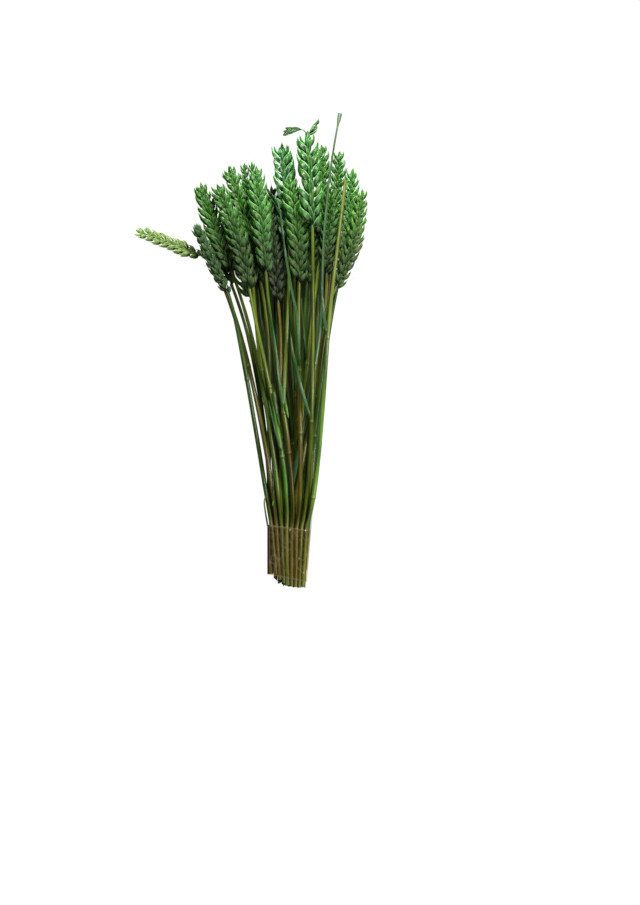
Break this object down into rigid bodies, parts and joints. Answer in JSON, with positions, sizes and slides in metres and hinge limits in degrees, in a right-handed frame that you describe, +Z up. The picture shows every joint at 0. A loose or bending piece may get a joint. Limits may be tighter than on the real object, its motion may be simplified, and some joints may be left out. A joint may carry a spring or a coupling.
{
  "type": "wheat ear bunch",
  "caption": "Bunch of dried green-dyed wheat ears on their straws, with bare straws and narrow leaves, lying flat, its cut feet wrapped in clear tape.",
  "frame": {"origin": "on the surface the bunch lies on, under the middle of its length and of its width", "axes": "+X to the right in the picture, across the bunch; +Y along the bunch from the cut feet to the ears; +Z up from the surface, towards the viewer of the picture"},
  "size_m": [0.2118, 0.4307, 0.0626],
  "materials": {
    "ear": "matte",
    "straw": "satin",
    "tape": "glossy"
  },
  "bodies": {
    "root": {"ear_01": "ear", "ear_02": "ear", "ear_03": "ear", "ear_04": "ear", "ear_05": "ear", "ear_06": "ear", "ear_07": "ear", "ear_08": "ear", "ear_09": "ear", "ear_10": "ear", "ear_11": "ear", "ear_12": "ear", "ear_13": "ear", "ear_14": "ear", "ear_15": "ear", "ear_16": "ear", "ear_17": "ear", "ear_18": "ear", "ear_19": "ear", "ear_20": "ear", "ear_21": "ear", "ear_22": "ear", "ear_23": "ear", "straw_01": "straw", "straw_02": "straw", "straw_03": "straw", "straw_04": "straw", "straw_05": "straw", "straw_06": "straw", "straw_07": "straw", "straw_08": "straw", "straw_09": "straw", "straw_10": "straw", "straw_11": "straw", "straw_12": "straw", "straw_13": "straw", "straw_14": "straw", "straw_15": "straw", "straw_16": "straw", "straw_17": "straw", "straw_18": "straw", "straw_19": "straw", "straw_20": "straw", "straw_21": "straw", "straw_22": "straw", "straw_23": "straw", "straw_bare_thick": "straw", "straw_bare_thin": "straw", "tape_wrap": "tape"}
  },
  "joints": []
}
